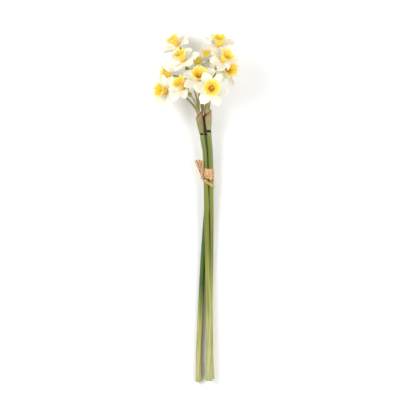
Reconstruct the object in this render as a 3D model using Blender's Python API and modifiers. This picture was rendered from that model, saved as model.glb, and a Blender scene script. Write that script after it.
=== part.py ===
"""An artificial daffodil bunch of real size, tied with raffia and lying down.

Three moulded stems run along +Y from their cut ends. Each carries a papery
sheath, and four stalks leave each sheath and end in a flower head: an outer
and an inner whorl of three tepals and a trumpet, threaded on the stalk's tube.
Units are metres, +Z is up, and the surface that the bunch lies on is z = 0.
"""

import math
from dataclasses import dataclass

import bmesh
import bpy
from mathutils import Matrix, Vector

MM = 0.001

# Flower head, along its own axis from the plane where the tepals are threaded on.
HUB_RADIUS = 4.0 * MM
TEPAL_REACH = 27.0 * MM
TEPAL_TAPER = 1.7
TEPAL_THICKNESS = 0.6 * MM
TEPAL_HOLE = 2.1 * MM
FORWARD_SLOPE = 0.10
FORWARD_CURVE = 3.0
WHORL_STEP = 0.9 * MM
TRUMPET_DEPTH = 16.5 * MM
TRUMPET_WALL = 0.8 * MM
TRUMPET_BASE_RADIUS = 4.2 * MM
TRUMPET_MOUTH_RADIUS = 12.6 * MM
TRUMPET_FLARE = 1.5
TRUMPET_SEAT = 2.0 * MM
TRUMPET_FLOOR_SHARE = 0.25

# Stalk behind the head: the floral tube, the swollen ovary, then the plain stalk.
TUBE_RADIUS = 1.75 * MM
TUBE_LENGTH = 12.0 * MM
TUBE_ABOVE_TEPALS = 3.2 * MM
OVARY_RADIUS = 3.0 * MM
OVARY_LENGTH = 8.0 * MM
STALK_RADIUS = 1.4 * MM
STALK_FOOT_RADIUS = 1.1 * MM
STALK_SPREAD = 1.55 * MM
STALK_STRAIGHT = 7.0 * MM
STALK_BEVEL_STEPS = 1
STALK_POINTS = 11
# The ovary from its foot to its top, as (share of its length, share of its greatest radius).
OVARY_SWELLING = ((0.3, 0.85), (0.6, 1.0), (0.9, 0.75))

# Stems, and the sheaths plugged into their tops.
SOCKET_RADIUS = 2.2 * MM
SOCKET_DEPTH = 12.0 * MM
CUT_END_BORE_RADIUS = 2.6 * MM
CUT_END_BORE_DEPTH = 6.0 * MM
PLUG_RADIUS = 1.9 * MM
SHEATH_FOOT_RADIUS = 2.8 * MM
SHEATH_MOUTH_RADIUS = 4.8 * MM
SHEATH_POCKET_RADIUS = 3.85 * MM
SHEATH_POCKET_DEPTH = 9.0 * MM
MOUTH_SLANT = math.radians(45)
SHEATH_FLARE = 0.6
SHEATH_SHARES = (0.35, 0.7, 1.0, 1.3)
CUTTER_REACH = 30.0 * MM
STEM_BEVEL_STEPS = 2

# Raffia tie: a band whose lower edge runs down to the right, and a strand that crosses below it.
RAFFIA_THICKNESS = 1.0 * MM
BAND_MIDDLE = 302.2 * MM
BAND_SLANT = 2.0 * MM
BAND_WIDTH = 15.2 * MM
BAND_WIDENING = 2.4 * MM
STRAND_MIDDLE = 288.6 * MM
STRAND_SLANT = 5.2 * MM
STRAND_WIDTH = 4.6 * MM
KNOT_RADII = (2.2 * MM, 3.0 * MM, 2.0 * MM)
KNOT_TURN = 0.62
KNOT_Y = 297.0 * MM
TAIL_LENGTH = 24.0 * MM
TAIL_ROOT_WIDTH = 2.5 * MM
TAIL_WIDENING = 9.4 * MM
TAIL_LEAN = 4.2 * MM
TAIL_RISE = 3.0 * MM
TAIL_PLEATS = 4
TAIL_PLEAT_HEIGHT = 0.8 * MM
TAIL_ROUNDING = 4.0 * MM

# Clearance left between neighbours that touch.
GAP = 0.3 * MM


@dataclass(frozen=True)
class Stem:
    """A stem's centre line from cut end to collar, as (x, y, z, radius) in mm, and its sheath's mouth."""

    route: tuple
    mouth: tuple


@dataclass(frozen=True)
class Flower:
    """Where a head sits and how its stalk leaves the sheath and reaches it, in mm and degrees."""

    stem: str
    seat: tuple
    at: tuple
    azimuth: float
    elevation: float
    roll: float
    leave: float
    arrive: float
    bow: tuple = (0, 0, 0)


STEMS = {
    "1": Stem(
        ((18.9, 1, 15.0, 5.0), (19.4, 40, 15.0, 4.5), (18.2, 110, 14.7, 4.0), (16.6, 180, 15.2, 3.8),
         (15.1, 250, 16.5, 3.5), (14.3, 300, 18.0, 3.4), (12.6, 335, 22.0, 3.3), (8.3, 360, 26.0, 3.3)),
        (3.8, 389, 33.0),
    ),
    "2": Stem(
        ((22, 4, 5.1, 5.0), (20.6, 40, 5.2, 4.5), (20.4, 110, 5.5, 4.0), (21.5, 180, 8.0, 3.8),
         (22.2, 250, 13.5, 3.5), (22.0, 300, 18.0, 3.4), (21.1, 335, 22.0, 3.3), (18.8, 364, 27.0, 3.3)),
        (17.6, 391, 36.0),
    ),
    "3": Stem(
        ((4.4, 0, 5.1, 5.0), (4.2, 40, 5.0, 4.5), (6.9, 110, 5.2, 4.0), (10.3, 180, 6.0, 3.8),
         (15.0, 250, 8.5, 3.5), (15.6, 300, 10.5, 3.4), (15.4, 335, 11.5, 3.2), (14.2, 360, 12.5, 3.2)),
        (11.2, 388, 17.0),
    ),
}

FLOWERS = {
    "01": Flower("3", (-1, -1), (-25.2, 487.5, 31.9), 129.8, 20.6, 0.8, 23.1, 17.7),
    "02": Flower("1", (1, -1), (-18, 464.8, 83.3), 115.2, 31.6, 49.8, 26.3, 14.1),
    "03": Flower("3", (1, 1), (2.9, 454.2, 55.5), 95.3, 9.7, 21.8, 18.1, 19.9),
    "04": Flower("3", (1, -1), (18, 466, 27.8), 102.2, -0.5, 29.2, 15.1, 15.6),
    "05": Flower("2", (-1, -1), (33.3, 486.2, 61), 85.4, 30.1, 29.4, 31.9, 23.2),
    "06": Flower("2", (1, 1), (37.7, 464.8, 94.4), 48.5, 36.4, 2, 36.5, 13.9),
    "07": Flower("2", (1, -1), (42.7, 452.2, 62.4), 19, 61.1, 58.1, 17.3, 22),
    "08": Flower("1", (1, 1), (5, 438.3, 97), 90.1, 51.5, 34.3, 20, 24),
    "09": Flower("2", (-1, 1), (22.1, 424.5, 117.5), 65, 82, 19.3, 19.1, 15.3),
    "10": Flower("1", (-1, 1), (-17.1, 426.1, 81.2), 131.8, 37.2, 12.4, 14.8, 12.8),
    "11": Flower("1", (-1, -1), (-41.9, 421.1, 50.5), 168.4, 35.1, 30.4, 15.7, 11.3),
    "12": Flower("3", (-1, 1), (-34.4, 444.6, 26.7), 171.5, 8, 8.7, 24.6, 17.5),
}


def clear_scene():
    """Remove every object that the startup scene holds."""
    for obj in list(bpy.data.objects):
        bpy.data.objects.remove(obj, do_unlink=True)


def add_collection(name, helpers=False):
    """Make a collection under the scene; a helper collection isn't rendered."""
    collection = bpy.data.collections.new(name)
    collection.hide_render = helpers
    bpy.context.scene.collection.children.link(collection)
    return collection


def add_material(name, colour, roughness):
    """Make a Principled material from a linear RGB colour."""
    material = bpy.data.materials.new(name)
    material.use_nodes = True
    shader = material.node_tree.nodes["Principled BSDF"]
    shader.inputs["Base Color"].default_value = (*colour, 1.0)
    shader.inputs["Roughness"].default_value = roughness
    shader.inputs["Metallic"].default_value = 0.0
    material.diffuse_color = (*colour, 1.0)
    return material


def add_object(name, data, material, collection):
    """Link a new object that shows the mesh or curve in the given material."""
    obj = bpy.data.objects.new(name, data)
    if not data.materials:
        data.materials.append(material)
    collection.objects.link(obj)
    return obj


def solidify(obj, thickness):
    """Thicken an open surface towards its front, which faces outward or up."""
    modifier = obj.modifiers.new("thickness", "SOLIDIFY")
    modifier.thickness = thickness
    modifier.offset = 1.0


def wrapped_surface(name, around, along, place):
    """Wrap a grid round on itself.

    Args:
        name: the mesh's name.
        around: how many faces go round.
        along: how many faces go from edge to edge.
        place: gives the point for a turn from 0 to 1 and a share from 0 to 1.
    """
    work = bmesh.new()
    bmesh.ops.create_grid(work, x_segments=around, y_segments=along, size=0.5)
    for vert in work.verts:
        vert.co = place(vert.co.x + 0.5, vert.co.y + 0.5)
    bmesh.ops.remove_doubles(work, verts=work.verts, dist=0.001 * MM)
    mesh = bpy.data.meshes.new(name)
    work.to_mesh(mesh)
    work.free()
    return mesh


def tepal_edge(angle):
    """The radius of a three-tepal whorl's outline at an angle from one tepal's middle."""
    third = 2 * math.pi / 3
    off_middle = (angle + third / 2) % third - third / 2
    return HUB_RADIUS + (TEPAL_REACH - HUB_RADIUS) * max(0.0, math.cos(1.5 * off_middle)) ** TEPAL_TAPER


def forward_sweep(radius):
    """How far the tepals lean forward at a radius."""
    out = max(0.0, radius - HUB_RADIUS)
    return FORWARD_SLOPE * out + FORWARD_CURVE * out * out


def whorl_mesh():
    """Three joined tepals round the hole that the tube passes through."""

    def place(turn, share):
        angle = 2 * math.pi * turn
        radius = TEPAL_HOLE + (tepal_edge(angle) - TEPAL_HOLE) * share
        return Vector((radius * math.cos(angle), radius * math.sin(angle), forward_sweep(radius)))

    return wrapped_surface("tepal_whorl", 18, 2, place)


def trumpet_mesh():
    """The trumpet's wall and the holed floor that it is threaded on by."""

    def place(turn, share):
        angle = 2 * math.pi * turn
        if share < TRUMPET_FLOOR_SHARE:
            radius = TEPAL_HOLE + (TRUMPET_BASE_RADIUS - TEPAL_HOLE) * share / TRUMPET_FLOOR_SHARE
            height = 0.0
        else:
            rise = (share - TRUMPET_FLOOR_SHARE) / (1 - TRUMPET_FLOOR_SHARE)
            flare = (TRUMPET_MOUTH_RADIUS - TRUMPET_BASE_RADIUS) * rise**TRUMPET_FLARE
            radius = TRUMPET_BASE_RADIUS + flare
            height = TRUMPET_DEPTH * rise
        return Vector((radius * math.cos(angle), radius * math.sin(angle), height))

    return wrapped_surface("trumpet", 14, 4, place)


def head_matrix(flower):
    """The flower head's place: its Z axis points where the flower faces."""
    azimuth = math.radians(flower.azimuth)
    elevation = math.radians(flower.elevation)
    facing = Vector((
        math.cos(azimuth) * math.cos(elevation),
        math.sin(azimuth) * math.cos(elevation),
        math.sin(elevation),
    ))
    side = Vector((-math.sin(azimuth), math.cos(azimuth), 0.0))
    turned = Matrix((side, facing.cross(side), facing)).transposed()
    roll = Matrix.Rotation(math.radians(flower.roll), 3, "Z")
    return Matrix.Translation(Vector(flower.at) * MM) @ (turned @ roll).to_4x4()


def sheath_frame(stem):
    """The sheath's foot and mouth, and its axis, side and upper directions."""
    foot = Vector(stem.route[-1][:3]) * MM
    mouth = Vector(stem.mouth) * MM
    axis = (mouth - foot).normalized()
    side = axis.cross(Vector((0, 0, 1))).normalized()
    return foot, mouth, axis, side, side.cross(axis)


def bezier(points, share):
    """A point on the cubic curve through four handles."""
    start, leave, arrive, end = points
    rest = 1 - share
    return rest**3 * start + 3 * rest**2 * share * leave + 3 * rest * share**2 * arrive + share**3 * end


def tube_curve(name, route, bevel_steps):
    """A round POLY tube along (point, radius) pairs, with capped ends."""
    curve = bpy.data.curves.new(name, "CURVE")
    curve.dimensions = "3D"
    curve.bevel_depth = 1.0
    curve.bevel_resolution = bevel_steps
    curve.use_fill_caps = True
    spline = curve.splines.new("POLY")
    spline.points.add(len(route) - 1)
    for target, (point, radius) in zip(spline.points, route):
        target.co = (*point, 1.0)
        target.radius = radius
    return curve


def stalk_route(flower):
    """The stalk from its seat in the sheath to the tube's end inside the trumpet."""
    _, mouth, axis, side, upper = sheath_frame(STEMS[flower.stem])
    across, up = flower.seat
    seat = mouth - axis * (SHEATH_POCKET_DEPTH - GAP) + (side * across + upper * up) * STALK_SPREAD
    start = seat + axis * STALK_STRAIGHT
    head = head_matrix(flower)
    facing = (head.to_3x3() @ Vector((0, 0, 1))).normalized()
    end = head.translation - facing * (TUBE_LENGTH + OVARY_LENGTH)
    bow = Vector(flower.bow) * MM
    handles = (start, start + axis * flower.leave * MM + bow, end - facing * flower.arrive * MM + bow, end)
    route = [(seat, STALK_FOOT_RADIUS)]
    for index in range(STALK_POINTS):
        share = index / STALK_POINTS
        radius = STALK_FOOT_RADIUS + (STALK_RADIUS - STALK_FOOT_RADIUS) * min(1.0, share * 5)
        route.append((bezier(handles, share), radius))
    route.append((end, STALK_RADIUS))
    for share, swelling in OVARY_SWELLING:
        route.append((end + facing * OVARY_LENGTH * share, OVARY_RADIUS * swelling))
    route.append((end + facing * (OVARY_LENGTH + 1.0 * MM), TUBE_RADIUS))
    route.append((head.translation + facing * TUBE_ABOVE_TEPALS, TUBE_RADIUS))
    return route


def add_flower(number, flower, meshes, materials, collection):
    """Add one head's whorls and trumpet under an empty, and its stalk."""
    empty = bpy.data.objects.new(f"flower_{number}", None)
    empty.matrix_world = head_matrix(flower)
    collection.objects.link(empty)
    half_turn = Matrix.Rotation(math.pi / 3, 4, "Z")
    pieces = (
        ("outer_tepals", "tepals", Matrix.Identity(4), TEPAL_THICKNESS),
        ("inner_tepals", "tepals", Matrix.Translation((0, 0, WHORL_STEP)) @ half_turn, TEPAL_THICKNESS),
        ("trumpet", "trumpet", Matrix.Translation((0, 0, TRUMPET_SEAT)), TRUMPET_WALL),
    )
    for kind, shape, local, thickness in pieces:
        obj = add_object(f"{kind}_{number}", meshes[shape], materials[shape], collection)
        obj.parent = empty
        obj.matrix_local = local
        solidify(obj, thickness)
    name = f"stalk_{number}"
    add_object(name, tube_curve(name, stalk_route(flower), STALK_BEVEL_STEPS), materials["stalk"], collection)


def cylinder_cutter(name, centre, axis, radius, depth, cutters):
    """A round cutter of a depth along an axis, centred on a point."""
    work = bmesh.new()
    bmesh.ops.create_cone(
        work, cap_ends=True, segments=10, radius1=radius, radius2=radius, depth=depth
    )
    mesh = bpy.data.meshes.new(name)
    work.to_mesh(mesh)
    work.free()
    obj = bpy.data.objects.new(name, mesh)
    obj.matrix_world = Matrix.Translation(centre) @ axis.to_track_quat("Z", "Y").to_matrix().to_4x4()
    obj.display_type = "WIRE"
    cutters.objects.link(obj)
    return obj


def slanted_cutter(name, stem, cutters):
    """A block whose lower face is the sheath's slanted mouth."""
    _, mouth, axis, _, upper = sheath_frame(stem)
    normal = Matrix.Rotation(MOUTH_SLANT, 4, upper) @ axis
    mesh = bpy.data.meshes.new(name)
    work = bmesh.new()
    bmesh.ops.create_cube(work, size=CUTTER_REACH)
    work.to_mesh(mesh)
    work.free()
    obj = bpy.data.objects.new(name, mesh)
    turn = normal.to_track_quat("Z", "Y").to_matrix().to_4x4()
    obj.matrix_world = Matrix.Translation(mouth + normal * CUTTER_REACH / 2) @ turn
    obj.display_type = "WIRE"
    cutters.objects.link(obj)
    return obj


def cut(obj, cutter):
    """Subtract a cutter with the exact solver."""
    modifier = obj.modifiers.new(cutter.name, "BOOLEAN")
    modifier.operation = "DIFFERENCE"
    modifier.solver = "EXACT"
    modifier.object = cutter


def solid_from_curve(name, curve, material, collection):
    """Turn a tube curve into a mesh object with closed ends, ready for a Boolean."""
    temporary = bpy.data.objects.new(name + "_curve", curve)
    collection.objects.link(temporary)
    graph = bpy.context.evaluated_depsgraph_get()
    mesh = bpy.data.meshes.new_from_object(temporary.evaluated_get(graph))
    bpy.data.objects.remove(temporary, do_unlink=True)
    mesh.name = name
    work = bmesh.new()
    work.from_mesh(mesh)
    bmesh.ops.remove_doubles(work, verts=work.verts, dist=0.001 * MM)
    bmesh.ops.recalc_face_normals(work, faces=work.faces)
    work.to_mesh(mesh)
    work.free()
    mesh.materials.clear()
    return add_object(name, mesh, material, collection)


def add_stem(number, stem, material, collection, cutters):
    """Add a stem with the sheath's socket in its top and a bore in its cut end."""
    route = [(Vector(row[:3]) * MM, row[3] * MM) for row in stem.route]
    obj = solid_from_curve(f"stem_{number}", tube_curve(f"stem_{number}", route, STEM_BEVEL_STEPS), material, collection)
    foot = route[-1][0]
    last = (route[-1][0] - route[-2][0]).normalized()
    first = (route[0][0] - route[1][0]).normalized()
    cut(obj, cylinder_cutter(f"socket_cutter_{number}", foot, last, SOCKET_RADIUS, 2 * SOCKET_DEPTH, cutters))
    cut(
        obj,
        cylinder_cutter(
            f"bore_cutter_{number}", route[0][0], first, CUT_END_BORE_RADIUS, 2 * CUT_END_BORE_DEPTH, cutters
        ),
    )


def add_sheath(number, stem, material, collection, cutters):
    """Add a sheath: a plug in the stem's socket, a widening tube and a pocket for four stalks."""
    foot, mouth, axis, _, _ = sheath_frame(stem)
    route = [(Vector(row[:3]) * MM, row[3] * MM) for row in stem.route]
    inward = (route[-2][0] - route[-1][0]).normalized()
    length = (mouth - foot).length
    profile = [
        (foot + inward * (SOCKET_DEPTH - GAP), PLUG_RADIUS),
        (foot + inward * 2 * GAP, PLUG_RADIUS),
        (foot + axis * 2 * GAP, PLUG_RADIUS),
        (foot + axis * 3 * GAP, SHEATH_FOOT_RADIUS),
    ]
    for share in SHEATH_SHARES:
        flare = min(1.0, share) ** SHEATH_FLARE
        radius = SHEATH_FOOT_RADIUS + (SHEATH_MOUTH_RADIUS - SHEATH_FOOT_RADIUS) * flare
        profile.append((foot + axis * length * share, radius))
    obj = solid_from_curve(f"sheath_{number}", tube_curve(f"sheath_{number}", profile, STEM_BEVEL_STEPS), material, collection)
    centre = mouth + axis * (CUTTER_REACH - SHEATH_POCKET_DEPTH) / 2
    cut(
        obj,
        cylinder_cutter(
            f"pocket_cutter_{number}", centre, axis, SHEATH_POCKET_RADIUS, CUTTER_REACH + SHEATH_POCKET_DEPTH, cutters
        ),
    )
    cut(obj, slanted_cutter(f"mouth_cutter_{number}", stem, cutters))


def stem_circles(y):
    """Each stem's centre (x, z) and radius where it crosses a plane at y."""
    circles = []
    for stem in STEMS.values():
        for low, high in zip(stem.route, stem.route[1:]):
            if low[1] <= y / MM <= high[1]:
                share = (y / MM - low[1]) / (high[1] - low[1])
                x, _, z, radius = (a + (b - a) * share for a, b in zip(low, high))
                circles.append((x * MM, z * MM, radius * MM))
    return circles


def hull_point(turn, y, clear):
    """A point a little outside the three stems together, at a turn about them."""
    angle = -2 * math.pi * turn
    x_part, z_part = math.cos(angle), math.sin(angle)
    x, z, radius = max(stem_circles(y), key=lambda c: c[0] * x_part + c[1] * z_part + c[2])
    reach = radius + clear
    return Vector((x + reach * x_part, y, z + reach * z_part))


def slanted_hull_point(turn, middle, slant, clear):
    """A point outside the stems whose y falls evenly from the left of the bunch to its right."""
    left, right = hull_point(0.5, middle, clear).x, hull_point(0.0, middle, clear).x
    across = (2 * hull_point(turn, middle, clear).x - left - right) / (right - left)
    return hull_point(turn, middle - slant * across, clear), across


def add_raffia(material, collection):
    """Add the tie: a wide band, a slanting strand, the knot and its pleated tail."""

    def band(turn, share):
        point, across = slanted_hull_point(turn, BAND_MIDDLE, BAND_SLANT, GAP)
        width = BAND_WIDTH + BAND_WIDENING * across
        return hull_point(turn, point.y + (share - 0.5) * width, GAP)

    def strand(turn, share):
        point, _ = slanted_hull_point(turn, STRAND_MIDDLE, STRAND_SLANT, GAP)
        return hull_point(turn, point.y + (share - 0.5) * STRAND_WIDTH, GAP)

    for name, place, rows in (("raffia_band", band, 2), ("raffia_strand", strand, 1)):
        obj = add_object(name, wrapped_surface(name, 24, rows, place), material, collection)
        solidify(obj, RAFFIA_THICKNESS)

    knot_at = hull_point(KNOT_TURN, KNOT_Y, 2 * GAP + RAFFIA_THICKNESS + KNOT_RADII[0])
    work = bmesh.new()
    bmesh.ops.create_uvsphere(work, u_segments=12, v_segments=8, radius=1.0)
    for vert in work.verts:
        vert.co = knot_at + Vector(length * radius for length, radius in zip(vert.co, KNOT_RADII))
    mesh = bpy.data.meshes.new("raffia_knot")
    work.to_mesh(mesh)
    work.free()
    add_object("raffia_knot", mesh, material, collection)

    work = bmesh.new()
    bmesh.ops.create_grid(work, x_segments=10, y_segments=3, size=0.5)
    root = knot_at + Vector((0.0, KNOT_RADII[1] + GAP, 0.0))
    for vert in work.verts:
        across = vert.co.x
        share = vert.co.y + 0.5
        pleat = TAIL_PLEAT_HEIGHT * share * math.cos(2 * math.pi * TAIL_PLEATS * (across + 0.5))
        vert.co = root + Vector((
            across * (TAIL_ROOT_WIDTH + TAIL_WIDENING * share) - TAIL_LEAN * share,
            (TAIL_LENGTH - TAIL_ROUNDING * abs(across)) * share,
            pleat + TAIL_RISE * share,
        ))
    mesh = bpy.data.meshes.new("raffia_tail")
    work.to_mesh(mesh)
    work.free()
    solidify(add_object("raffia_tail", mesh, material, collection), RAFFIA_THICKNESS)


def centre_on_floor(collection):
    """Move everything so that the box's centre is over the origin and its bottom at z = 0."""
    graph = bpy.context.evaluated_depsgraph_get()
    low = Vector((math.inf,) * 3)
    high = Vector((-math.inf,) * 3)
    for obj in collection.objects:
        if obj.type == "EMPTY":
            continue
        seen = obj.evaluated_get(graph)
        for vert in seen.to_mesh().vertices:
            point = seen.matrix_world @ vert.co
            for axis in range(3):
                low[axis] = min(low[axis], point[axis])
                high[axis] = max(high[axis], point[axis])
        seen.to_mesh_clear()
    shift = Vector((-(low.x + high.x) / 2, -(low.y + high.y) / 2, -low.z))
    for obj in bpy.data.objects:
        if obj.parent is None:
            obj.location += shift


def main():
    clear_scene()
    bunch = add_collection("daffodil_bunch")
    cutters = add_collection("cutters", helpers=True)
    materials = {
        "tepals": add_material("tepal_cream", (0.93, 0.88, 0.74), 0.75),
        "trumpet": add_material("trumpet_yellow", (0.92, 0.68, 0.11), 0.7),
        "stalk": add_material("stalk_green", (0.25, 0.24, 0.06), 0.6),
        "stem": add_material("stem_green", (0.24, 0.27, 0.05), 0.55),
        "sheath": add_material("sheath_khaki", (0.38, 0.34, 0.15), 0.75),
        "raffia": add_material("raffia_tan", (0.62, 0.42, 0.19), 0.85),
    }
    meshes = {"tepals": whorl_mesh(), "trumpet": trumpet_mesh()}
    for number, stem in STEMS.items():
        add_stem(number, stem, materials["stem"], bunch, cutters)
        add_sheath(number, stem, materials["sheath"], bunch, cutters)
    for number, flower in FLOWERS.items():
        add_flower(number, flower, meshes, materials, bunch)
    add_raffia(materials["raffia"], bunch)
    bpy.context.view_layer.update()
    centre_on_floor(bunch)


main()
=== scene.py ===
"""The looks of an artificial daffodil bunch tied with raffia and lying down.

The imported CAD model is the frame: every piece here reads its place from a CAD
node and stands for that node. Lengths are metres, +Y runs from the cut ends to
the flowers, and +Z is up from the surface that the bunch lies on.
"""

from __future__ import annotations

import logging
import math
from dataclasses import dataclass, field
from enum import Enum
from typing import Sequence

import bmesh
import bpy
import numpy as np
from mathutils import Matrix, Vector, noise
from mathutils.bvhtree import BVHTree


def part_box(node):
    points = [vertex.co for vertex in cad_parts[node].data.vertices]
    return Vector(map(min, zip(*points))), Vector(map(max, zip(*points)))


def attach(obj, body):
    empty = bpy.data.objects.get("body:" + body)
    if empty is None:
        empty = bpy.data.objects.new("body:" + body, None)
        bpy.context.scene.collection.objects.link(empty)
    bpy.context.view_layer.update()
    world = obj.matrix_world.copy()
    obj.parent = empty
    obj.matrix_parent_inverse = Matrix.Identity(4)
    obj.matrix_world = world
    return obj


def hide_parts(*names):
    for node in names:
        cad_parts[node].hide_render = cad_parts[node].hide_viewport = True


LOG = logging.getLogger("daffodil_bunch")
MM = 0.001
BODY = "root"

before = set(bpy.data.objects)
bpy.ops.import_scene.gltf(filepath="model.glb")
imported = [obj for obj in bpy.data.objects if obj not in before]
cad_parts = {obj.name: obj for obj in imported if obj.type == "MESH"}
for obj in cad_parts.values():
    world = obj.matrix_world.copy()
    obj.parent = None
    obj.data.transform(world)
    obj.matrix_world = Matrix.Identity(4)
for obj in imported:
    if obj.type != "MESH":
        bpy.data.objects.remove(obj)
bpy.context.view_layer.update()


# ---------------------------------------------------------------- colours and nodes


def srgb(code: str, alpha: float = 1.0) -> tuple[float, float, float, float]:
    """Turn an sRGB hex colour into linear RGBA.

    Args:
        code: six hex digits after a hash.
        alpha: the fourth value.

    Returns:
        The linear colour.
    """
    parts = [int(code[start : start + 2], 16) / 255 for start in (1, 3, 5)]
    linear = [part / 12.92 if part <= 0.04045 else ((part + 0.055) / 1.055) ** 2.4 for part in parts]
    return (*linear, alpha)


def add_node(
    tree: bpy.types.NodeTree, kind: str, links: dict | None = None, **settings: object
) -> bpy.types.Node:
    """Add a node with its settings, and set or link its inputs.

    Args:
        tree: the node tree that takes the node.
        kind: the node's type name.
        links: input name or number to a value, or to a socket that feeds it.
        settings: attributes set on the node itself.

    Returns:
        The new node.
    """
    node = tree.nodes.new(kind)
    for name, value in settings.items():
        setattr(node, name, value)
    for name, value in (links or {}).items():
        if isinstance(value, bpy.types.NodeSocket):
            tree.links.new(value, node.inputs[name])
        else:
            node.inputs[name].default_value = value
    return node


def add_ramp(
    tree: bpy.types.NodeTree, factor: bpy.types.NodeSocket, stops: Sequence[tuple]
) -> bpy.types.NodeSocket:
    """Add a colour ramp.

    Args:
        tree: the node tree.
        factor: what the ramp reads.
        stops: (position, linear RGBA) pairs in order.

    Returns:
        The ramp's colour socket.
    """
    node = add_node(tree, "ShaderNodeValToRGB", {"Fac": factor})
    elements = node.color_ramp.elements
    while len(elements) < len(stops):
        elements.new(1.0)
    for element, (position, colour) in zip(elements, stops):
        element.position = position
        element.color = colour
    return node.outputs["Color"]


def stretched_noise(
    tree: bpy.types.NodeTree, coordinates: bpy.types.NodeSocket, repeats: tuple, detail: float = 4.0
) -> bpy.types.NodeSocket:
    """Noise drawn out along a direction, as fibres and moulding streaks are.

    Args:
        tree: the node tree.
        coordinates: UV or object coordinates.
        repeats: how many spots fit in one unit along each axis.
        detail: octaves of noise.

    Returns:
        The noise's value, about 0.5 in the middle.
    """
    mapping = add_node(tree, "ShaderNodeMapping", {"Vector": coordinates, "Scale": repeats})
    spots = add_node(
        tree, "ShaderNodeTexNoise", {"Vector": mapping.outputs["Vector"], "Scale": 1.0, "Detail": detail}
    )
    return spots.outputs["Fac"]


def mixed(
    tree: bpy.types.NodeTree, factor: object, first: object, second: object, blend: str = "MIX"
) -> bpy.types.NodeSocket:
    """Mix two colours or colour sockets.

    Args:
        tree: the node tree.
        factor: a number or socket, 0 for the first colour.
        first: a colour or socket.
        second: a colour or socket.
        blend: Blender's name for the way they mix.

    Returns:
        The mixed colour's socket.
    """
    inputs = {0: factor, 6: first, 7: second}
    node = add_node(tree, "ShaderNodeMix", inputs, data_type="RGBA", blend_type=blend)
    return node.outputs[2]


def bumped(
    tree: bpy.types.NodeTree, height: bpy.types.NodeSocket, depth: float, strength: float
) -> bpy.types.NodeSocket:
    """A bump of a real depth in metres.

    Args:
        tree: the node tree.
        height: the pattern, 0 to 1.
        depth: how deep a full step is, in metres.
        strength: how much of it shows.

    Returns:
        The normal socket.
    """
    node = add_node(tree, "ShaderNodeBump", {"Height": height, "Distance": depth, "Strength": strength})
    return node.outputs["Normal"]


def sheet_map(tree: bpy.types.NodeTree) -> tuple[bpy.types.NodeSocket, bpy.types.Node]:
    """Read the UV map named sheet, which runs along and across a piece.

    Args:
        tree: the node tree.

    Returns:
        The map's coordinates, and a node that splits them into X and Y.
    """
    sheet = add_node(tree, "ShaderNodeUVMap", uv_map="sheet").outputs["UV"]
    return sheet, add_node(tree, "ShaderNodeSeparateXYZ", {"Vector": sheet})


def fade(
    tree: bpy.types.NodeTree, value: bpy.types.NodeSocket, start: float, end: float
) -> bpy.types.NodeSocket:
    """A factor that goes from 0 to 1 between two values.

    Args:
        tree: the node tree.
        value: what is read.
        start: where the factor is still 0.
        end: where it has reached 1.

    Returns:
        The factor's socket.
    """
    return add_ramp(tree, value, ((start, srgb("#000000")), (end, srgb("#ffffff"))))


# ---------------------------------------------------------------- finishes


@dataclass(frozen=True)
class Finish:
    """A material's shader settings; each finish below adds its own pattern."""

    name: str
    roughness: float
    ior: float = 1.5
    sheen: float = 0.0
    subsurface: float = 0.0

    def shader(self) -> tuple[bpy.types.Material, bpy.types.NodeTree, bpy.types.Node]:
        """Make the material and its Principled shader.

        Returns:
            The material, its node tree and the shader node.
        """
        material = bpy.data.materials.new(self.name)
        material.use_nodes = True
        tree = material.node_tree
        node = tree.nodes["Principled BSDF"]
        node.inputs["Roughness"].default_value = self.roughness
        node.inputs["IOR"].default_value = self.ior
        node.inputs["Sheen Weight"].default_value = self.sheen
        node.inputs["Subsurface Weight"].default_value = self.subsurface
        node.inputs["Subsurface Radius"].default_value = (1.0, 0.8, 0.5)
        node.inputs["Subsurface Scale"].default_value = 1.2 * MM
        return material, tree, node


@dataclass(frozen=True)
class MouldedSilk(Finish):
    """Polyester silk pressed between hot petal moulds: matt, with pressed veins and a faint weave."""

    petal: str = "#f5f3e8"
    vein_groove_shade: str = "#ebe5d0"
    heart: str = "#ded9a4"

    def build(self) -> bpy.types.Material:
        """The cream of the tepals, with painted shade in the grooves of the pressed veins, and greener at the
        heart.

        Returns:
            The material.
        """
        material, tree, shader = self.shader()
        sheet, split = sheet_map(tree)
        # A tepal reaches 27 mm, so the pressed veins are about 0.6 mm wide and 7 mm long.
        veins = stretched_noise(tree, sheet, (4.0, 46.0, 1.0), 3.0)
        # Where the vein relief is low the cream turns warmer and darker: painted shade in the grooves.
        cream = add_ramp(tree, veins, ((0.35, srgb(self.vein_groove_shade)), (0.62, srgb(self.petal))))
        heart = add_ramp(tree, split.outputs["X"], ((0.06, srgb("#ffffff")), (0.34, srgb("#000000"))))
        colour = mixed(tree, heart, cream, srgb(self.heart))
        # The weave's threads lie about 0.45 mm apart.
        weave = add_node(tree, "ShaderNodeTexCoord").outputs["Object"]
        threads = stretched_noise(tree, weave, (2200.0, 2200.0, 2200.0), 2.0)
        relief = add_node(tree, "ShaderNodeMath", {0: veins, 1: threads}, operation="ADD")
        tree.links.new(colour, shader.inputs["Base Color"])
        tree.links.new(bumped(tree, relief.outputs[0], 0.35 * MM, 0.35), shader.inputs["Normal"])
        return material


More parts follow.
